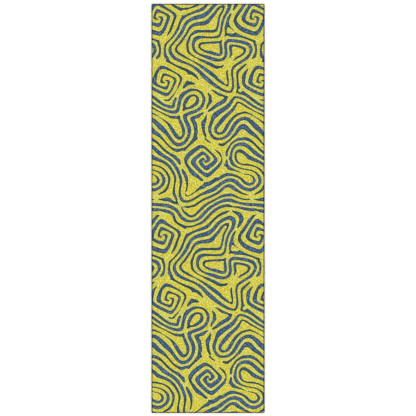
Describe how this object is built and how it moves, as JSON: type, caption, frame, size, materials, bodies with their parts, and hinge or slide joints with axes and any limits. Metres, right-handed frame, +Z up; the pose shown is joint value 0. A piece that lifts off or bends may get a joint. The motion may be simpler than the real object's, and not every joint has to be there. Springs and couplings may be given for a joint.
{
  "type": "runner rug",
  "caption": "Long low-pile runner rug with a two-tone labyrinth print, a serged yarn edge and a non-slip backing.",
  "frame": {"origin": "centre of the underside, on the floor that the rug lies on", "axes": "+Y along the rug's length, +X across its width, +Z up out of the pile"},
  "size_m": [0.6604, 2.3876, 0.0075],
  "materials": {
    "printed_pile": "matt cut pile in soft polyester yarn, dye-printed in yellow and blue",
    "serging_yarn": "wrapped polyester yarn, with the print running over it in darker tones",
    "primary_backing": "off-white woven scrim",
    "latex_bond_coat": "cream dried latex",
    "grip_backing": "matt grey non-slip sheet with small raised grips"
  },
  "bodies": {
    "root": {"grip_backing": "grip_backing", "latex_bond_coat": "latex_bond_coat", "primary_backing": "primary_backing", "printed_pile": "printed_pile", "serging_left": "serging_yarn", "serging_right": "serging_yarn", "serging_head": "serging_yarn", "serging_foot": "serging_yarn"}
  },
  "joints": []
}
